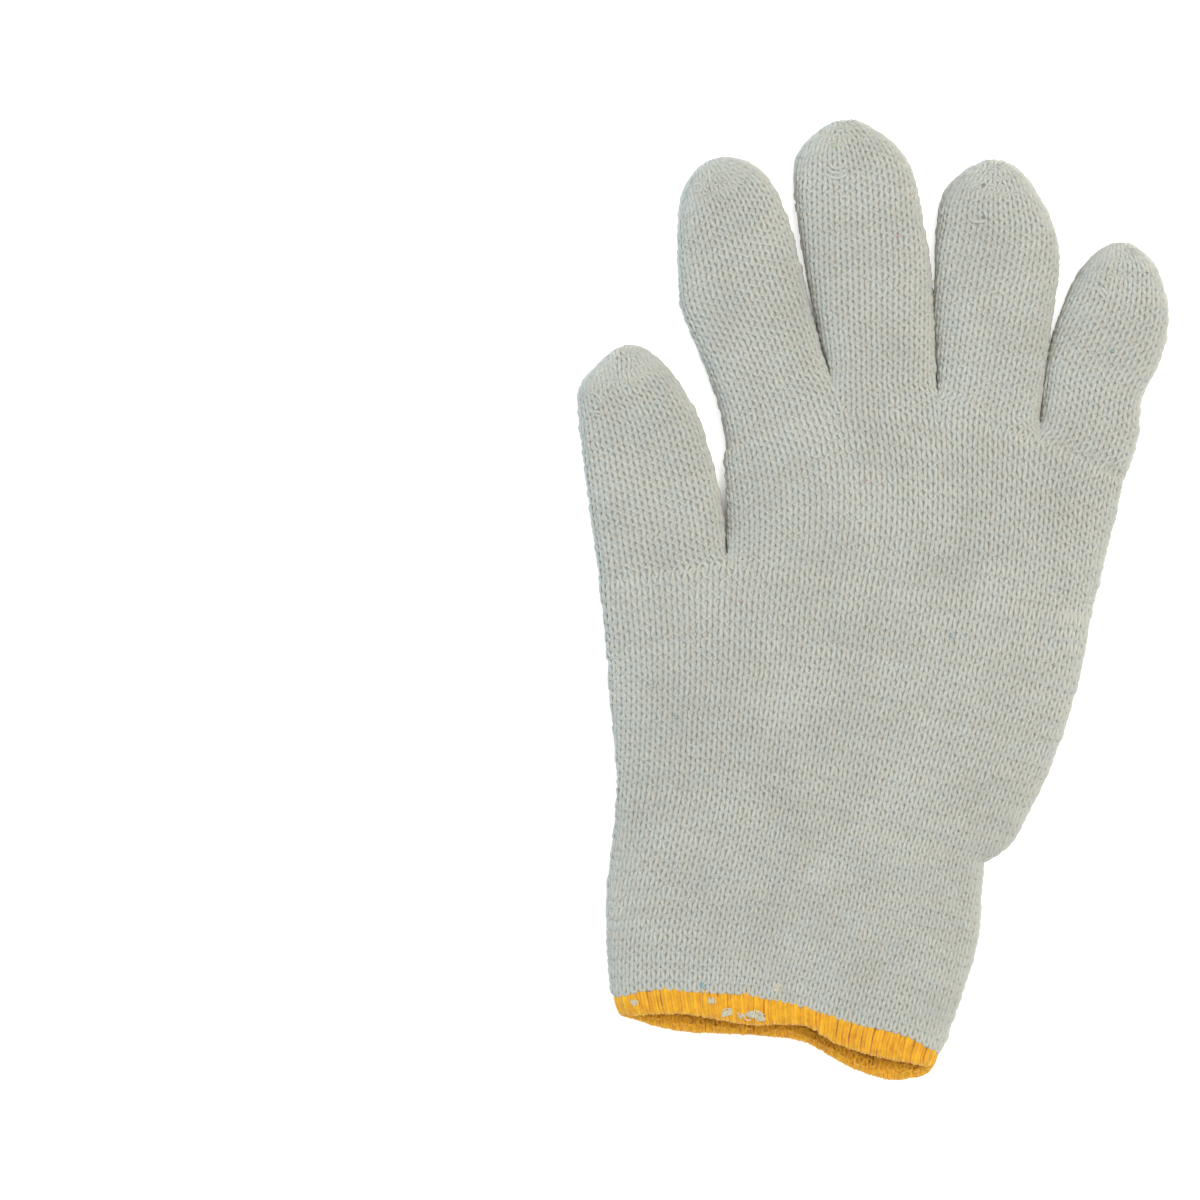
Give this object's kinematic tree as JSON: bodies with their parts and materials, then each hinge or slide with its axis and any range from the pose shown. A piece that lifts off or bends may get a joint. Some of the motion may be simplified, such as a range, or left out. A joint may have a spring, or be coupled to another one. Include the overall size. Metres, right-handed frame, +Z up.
{
  "type": "cotton work glove",
  "caption": "Seamless knitted cotton work glove for the right hand, lying flat with its back up, hollow, with a yellow overlocked edge round the cuff's mouth.",
  "frame": {"origin": "middle of the glove's footprint, on the surface that it lies on", "axes": "+Y from the cuff to the fingertips, +X from the thumb to the little finger, +Z up from the palm side to the back of the hand"},
  "size_m": [0.1528, 0.2496, 0.0128],
  "materials": {
    "cotton_knit": "soft natural cotton yarn in plain knit, matt",
    "edging": "yellow overlock thread, slightly shiny"
  },
  "bodies": {
    "root": {"index_finger": "cotton_knit", "middle_finger": "cotton_knit", "ring_finger": "cotton_knit", "little_finger": "cotton_knit", "upper_palm": "cotton_knit", "thumb": "cotton_knit", "lower_palm": "cotton_knit", "wrist_cuff": "cotton_knit", "cuff_edging": "edging"}
  },
  "joints": []
}
